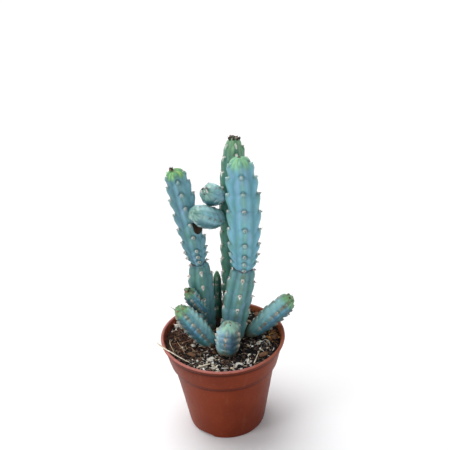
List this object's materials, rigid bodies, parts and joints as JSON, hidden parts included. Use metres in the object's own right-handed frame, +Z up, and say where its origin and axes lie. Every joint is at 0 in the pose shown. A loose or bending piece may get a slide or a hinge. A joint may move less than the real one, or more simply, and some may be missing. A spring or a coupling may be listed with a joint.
{
  "type": "potted columnar succulent",
  "caption": "Clump of blue-green five-ribbed columnar stems with short side shoots, standing in soil in a stepped terracotta-coloured plastic nursery pot.",
  "frame": {"origin": "centre of the pot's base, on the surface it stands on", "axes": "+Z up the pot's axis, -Y towards the side that the picture shows, +X to the right of that view"},
  "size_m": [0.1178, 0.105, 0.2525],
  "materials": {
    "pot": "satin, terracotta-coloured",
    "soil": "rough potting mix of peat and fibre",
    "blue_skin": "waxy blue-green plant skin",
    "green_skin": "waxy green plant skin",
    "perlite": "porous off-white grain",
    "bark": "dry bark chip",
    "straw": "dry stalk"
  },
  "bodies": {
    "root": {"pot": "pot", "soil": "soil", "stem_main": "blue_skin", "stem_left": "blue_skin", "stem_back": "green_skin", "pup_upper": "blue_skin", "pup_lower": "blue_skin", "offset_front": "blue_skin", "offset_left_front": "blue_skin", "offset_left_back": "blue_skin", "offset_right": "blue_skin", "offset_back": "green_skin", "perlite_1": "perlite", "perlite_2": "perlite", "perlite_3": "perlite", "perlite_4": "perlite", "perlite_5": "perlite", "perlite_6": "perlite", "bark_1": "bark", "bark_2": "bark", "bark_3": "bark", "bark_4": "bark", "straw_rim": "straw", "straw_front": "straw", "straw_right": "straw"}
  },
  "joints": []
}
